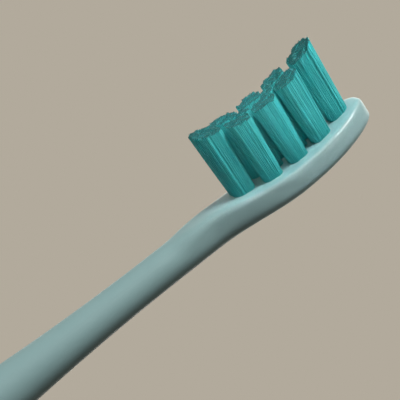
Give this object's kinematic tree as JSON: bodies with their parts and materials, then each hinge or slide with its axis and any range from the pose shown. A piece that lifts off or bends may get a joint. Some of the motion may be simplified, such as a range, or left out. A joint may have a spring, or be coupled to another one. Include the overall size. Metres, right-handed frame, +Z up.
{
  "type": "electric toothbrush head",
  "caption": "Push-on brush head for an electric toothbrush: slim waisted neck, rounded dished plate and bristle tufts trimmed to a hollow curve, driven through a socket in its base.",
  "frame": {"origin": "centre of the shaft bore's mouth, in the plane of the base", "axes": "+Z up the neck to the tip of the head, -Y the way the bristles point, X across the head"},
  "size_m": [0.0116, 0.0203, 0.079],
  "materials": {
    "body_plastic": "pale blue-green satin gloss",
    "bristle": "teal nylon filaments",
    "anchor_metal": "drawn",
    "insert_plastic": "moulded",
    "spring_steel": "rolled"
  },
  "bodies": {
    "root": {"head_body": "body_plastic", "tuft_neck": "bristle", "tuft_left_1": "bristle", "tuft_right_1": "bristle", "tuft_middle_1": "bristle", "tuft_left_2": "bristle", "tuft_right_2": "bristle", "tuft_middle_2": "bristle", "tuft_left_3": "bristle", "tuft_right_3": "bristle", "tuft_tip": "bristle", "tuft_anchors": "anchor_metal", "drive_insert": "insert_plastic", "spring_clip": "spring_steel"}
  },
  "joints": []
}
